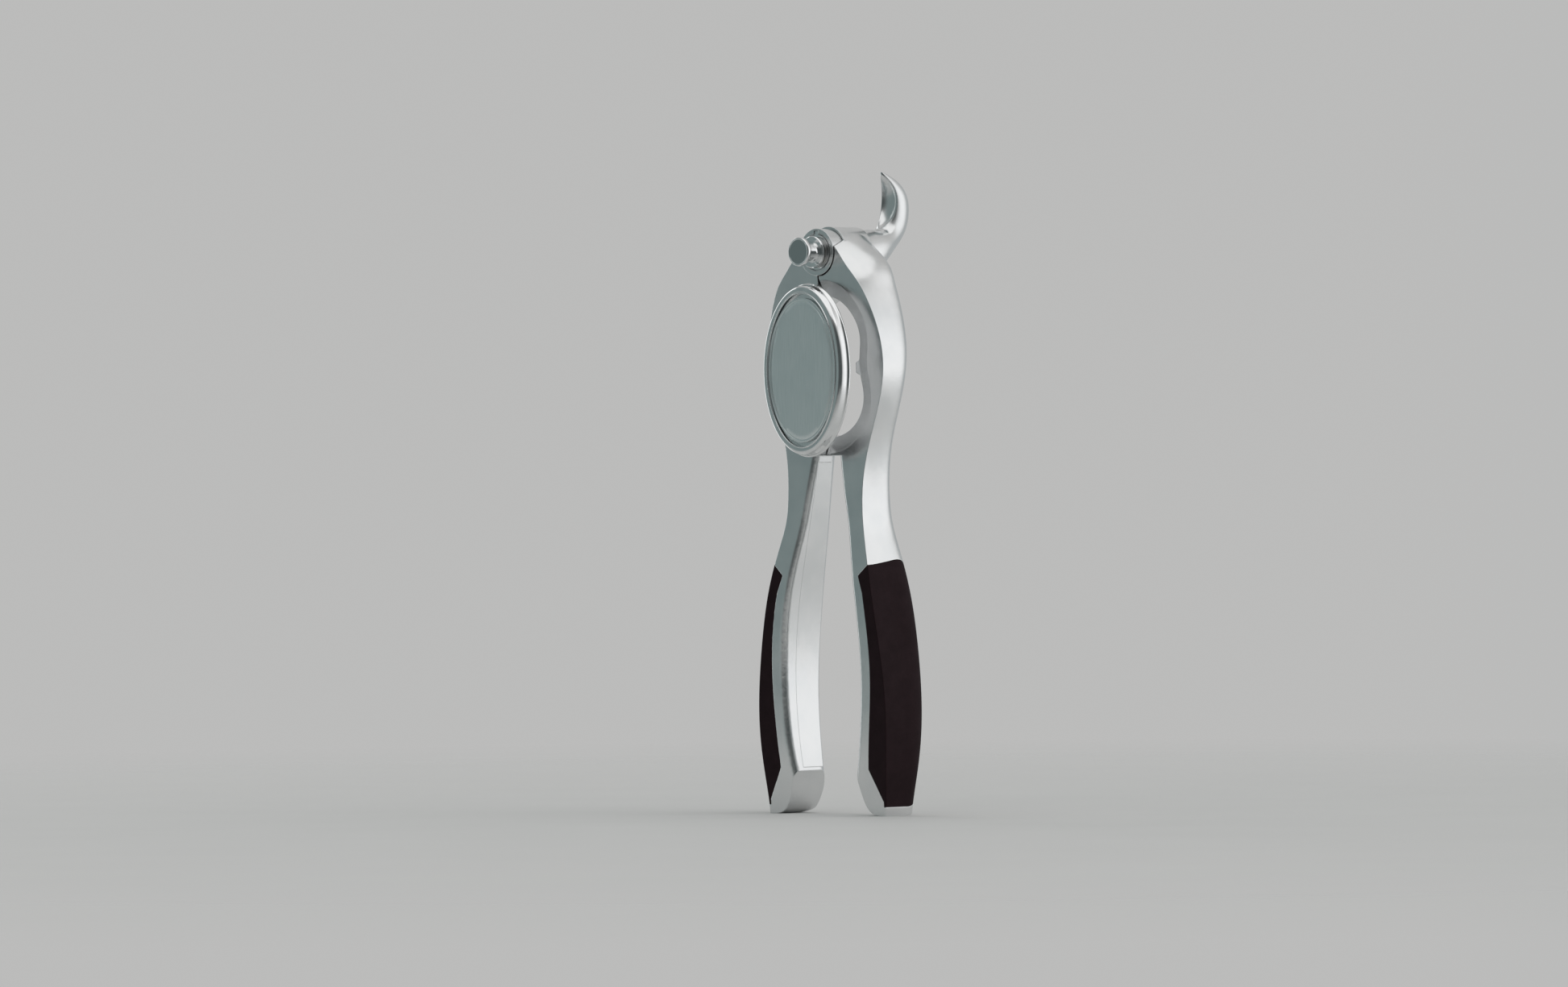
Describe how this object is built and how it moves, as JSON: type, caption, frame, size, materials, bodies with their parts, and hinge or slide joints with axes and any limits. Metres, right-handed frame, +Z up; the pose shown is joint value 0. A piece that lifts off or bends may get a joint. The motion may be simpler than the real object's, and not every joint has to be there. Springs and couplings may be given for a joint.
{
  "type": "champagne cork opener",
  "caption": "Plier-type opener for sparkling wine: hinged satin chrome levers with an oval jaw opening, cover disc, wire claw and soft grips.",
  "frame": {"origin": "middle of the part's footprint, on the surface that the handle ends stand on", "axes": "+Z up from the handle ends to the hinge, -Y to the front where the cover disc and the spool face, +X to the right lever"},
  "size_m": [0.057, 0.0481, 0.2009],
  "materials": {
    "satin_chrome": "satin",
    "bright_chrome": "polished",
    "brushed_plate": "satin",
    "spring_steel": "satin",
    "bush_bronze": "satin",
    "soft_grip": "matte",
    "hard_core": "matte",
    "adhesive": "matte"
  },
  "bodies": {
    "right_side": {"right_lever": "satin_chrome", "right_grip": "soft_grip", "right_grip_carrier": "hard_core", "pivot_screw": "bright_chrome", "head_washer": "bright_chrome", "spring_washer": "spring_steel", "knuckle_washer": "spring_steel", "claw_shim": "spring_steel", "wire_claw": "satin_chrome", "claw_insert": "bush_bronze", "claw_dowels": "spring_steel"},
    "left_side": {"left_lever": "satin_chrome", "left_grip": "soft_grip", "left_grip_carrier": "hard_core", "tab_washer": "bright_chrome", "pivot_bushing": "bush_bronze", "cover_bezel": "bright_chrome", "cover_plate": "brushed_plate", "plate_pad": "adhesive", "cover_screws": "spring_steel"}
  },
  "joints": [
    {"name": "lever_hinge", "type": "hinge", "parent": "right_side", "child": "left_side", "pos_m": [0, -0.007, 0.1753], "axis": [0, 1, 0], "range_deg": [0, 28]}
  ]
}
